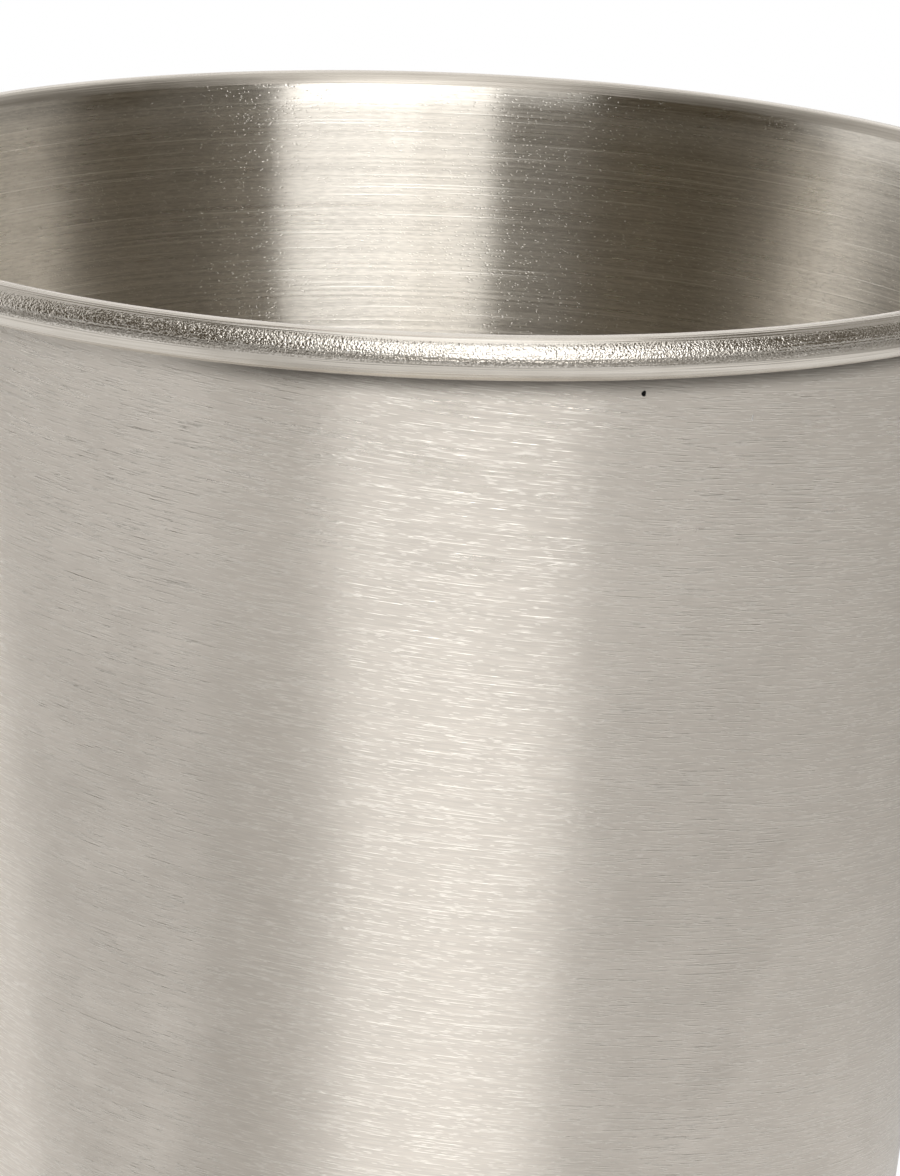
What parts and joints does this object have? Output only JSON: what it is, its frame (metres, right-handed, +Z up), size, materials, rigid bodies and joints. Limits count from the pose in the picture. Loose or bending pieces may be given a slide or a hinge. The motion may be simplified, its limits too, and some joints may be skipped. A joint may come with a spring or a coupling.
{
  "type": "julep cup",
  "caption": "Tapered brushed-steel julep cup with a round rolled rim, a set-in floor and a moulded foot ring that it stands on.",
  "frame": {"origin": "centre of the face that the cup stands on", "axes": "+Z up along the cup's axis of turning, towards the mouth; the cup is the same all the way round, so +X and +Y are free"},
  "size_m": [0.088, 0.088, 0.108],
  "materials": {
    "wall_steel": "stainless steel, brushed round the cup, satin",
    "wire_steel": "drawn steel wire, plain",
    "floor_steel": "stainless steel, spun in rings round the middle, satin",
    "foot_steel": "stainless steel, turned, half bright",
    "braze": "pale silver braze, wiped smooth"
  },
  "bodies": {
    "root": {"cup_wall": "wall_steel", "rim_wire": "wire_steel", "floor_pan": "floor_steel", "foot_ring": "foot_steel", "floor_braze": "braze", "foot_braze": "braze"}
  },
  "joints": []
}
